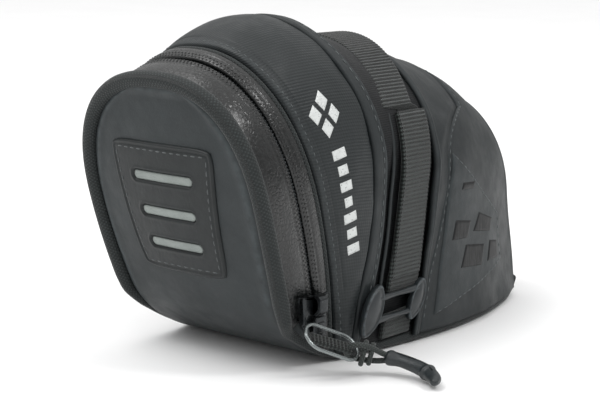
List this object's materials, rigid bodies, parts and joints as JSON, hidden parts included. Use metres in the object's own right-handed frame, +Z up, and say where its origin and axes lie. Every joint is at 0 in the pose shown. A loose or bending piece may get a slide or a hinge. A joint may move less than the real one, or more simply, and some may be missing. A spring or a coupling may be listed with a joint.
{
  "type": "bicycle saddle bag",
  "caption": "Wedge-shaped saddle bag with an arched fabric shell, hinged rear lid behind a U-shaped zip, reflective patch, rail strap with buckles and a cord zip puller.",
  "frame": {"origin": "middle of the flat base, on its underside", "axes": "+Z up, +Y forward to the nose and the seatpost, +X to the side that carries the zip slider"},
  "size_m": [0.1354, 0.1826, 0.1192],
  "materials": {
    "coated_fabric": "smooth matt coated fabric",
    "ripstop_fabric": "fine ripstop weave, coated",
    "zip_tape": "water-repellent film with a leather grain",
    "piping": "bias-bound piping",
    "webbing": "ribbed polyester webbing",
    "patch_film": "satin film, stitched edge",
    "reflective_film": "grey reflective film",
    "lining": "black lining cloth",
    "stiffener_board": "thin plastic board",
    "black_metal": "black lacquered zinc",
    "ring_wire": "dark steel wire",
    "cord": "woven cord",
    "grip_plastic": "soft moulded grip",
    "buckle_plastic": "moulded nylon"
  },
  "bodies": {
    "root": {"base_panel": "coated_fabric", "base_stiffener": "stiffener_board", "front_panel": "coated_fabric", "body_band": "ripstop_fabric", "body_zip_tape": "zip_tape", "body_zip_coil": "zip_tape", "body_welt": "piping", "hem_binding": "coated_fabric", "recess_panel": "lining", "middle_shell": "coated_fabric", "nose_shell": "coated_fabric", "right_applique": "patch_film", "left_applique": "patch_film", "right_base_piping": "piping", "left_base_piping": "piping", "front_piping": "piping", "right_zip_end": "coated_fabric", "left_zip_end": "coated_fabric", "right_anchor_webbing": "webbing", "left_anchor_webbing": "webbing", "saddle_strap": "webbing", "seatpost_strap": "webbing"},
    "lid": {"rear_panel": "coated_fabric", "rear_stiffener": "stiffener_board", "rim_binding": "piping", "lid_zip_tape": "zip_tape", "lid_zip_coil": "zip_tape", "reflector_patch": "patch_film", "reflective_bar_top": "reflective_film", "reflective_bar_middle": "reflective_film", "reflective_bar_bottom": "reflective_film"},
    "slider": {"zip_slider": "black_metal", "slider_crown": "black_metal"},
    "pull_tab": {"pull_tab": "black_metal"},
    "ring": {"wire_ring": "ring_wire"},
    "puller": {"puller_cord": "cord", "puller_grip": "grip_plastic"},
    "right_buckle": {"right_strap_buckle": "buckle_plastic"},
    "left_buckle": {"left_strap_buckle": "buckle_plastic"},
    "right_tail": {"right_strap_tail": "webbing"},
    "left_tail": {"left_strap_tail": "webbing"},
    "seatpost_tail": {"seatpost_strap_tail": "webbing"}
  },
  "joints": [
    {"name": "lid_fold", "type": "hinge", "parent": "root", "child": "lid", "pos_m": [0, -0.0806, 0.014], "axis": [1, 0, 0], "range_deg": [0, 70]},
    {"name": "slider_travel", "type": "slide", "parent": "root", "child": "slider", "axis": [0.085, -0.24, 0.967], "range_m": [0, 0.022]},
    {"name": "tab_swing", "type": "hinge", "parent": "slider", "child": "pull_tab", "pos_m": [0.0442, -0.0712, 0.0206], "axis": [0, -1, 0], "range_deg": [0, 50]},
    {"name": "ring_swing", "type": "hinge", "parent": "pull_tab", "child": "ring", "pos_m": [0.047, -0.0822, 0.018], "axis": [0.6108, -0.5359, -0.5828], "range_deg": [0, 12]},
    {"name": "puller_swing", "type": "hinge", "parent": "ring", "child": "puller", "pos_m": [0.0549, -0.063, 0.0086], "axis": [0, 0, 1], "range_deg": [-20, 20]},
    {"name": "right_buckle_swing", "type": "hinge", "parent": "root", "child": "right_buckle", "pos_m": [0.0444, -0.0277, 0.0132], "axis": [0, 1, 0], "range_deg": [0, 35]},
    {"name": "left_buckle_swing", "type": "hinge", "parent": "root", "child": "left_buckle", "pos_m": [-0.0444, -0.0277, 0.0132], "axis": [0, -1, 0], "range_deg": [0, 35]},
    {"name": "right_tail_peel", "type": "hinge", "parent": "right_buckle", "child": "right_tail", "pos_m": [0.0434, -0.0235, 0.0262], "axis": [0, 1, 0], "range_deg": [0, 80]},
    {"name": "left_tail_peel", "type": "hinge", "parent": "left_buckle", "child": "left_tail", "pos_m": [-0.0434, -0.0235, 0.0262], "axis": [0, -1, 0], "range_deg": [0, 80]},
    {"name": "seatpost_tail_peel", "type": "hinge", "parent": "root", "child": "seatpost_tail", "pos_m": [-0.0113, 0.0732, 0.044], "axis": [0, -0.1641, 0.9864], "range_deg": [0, 80]}
  ]
}
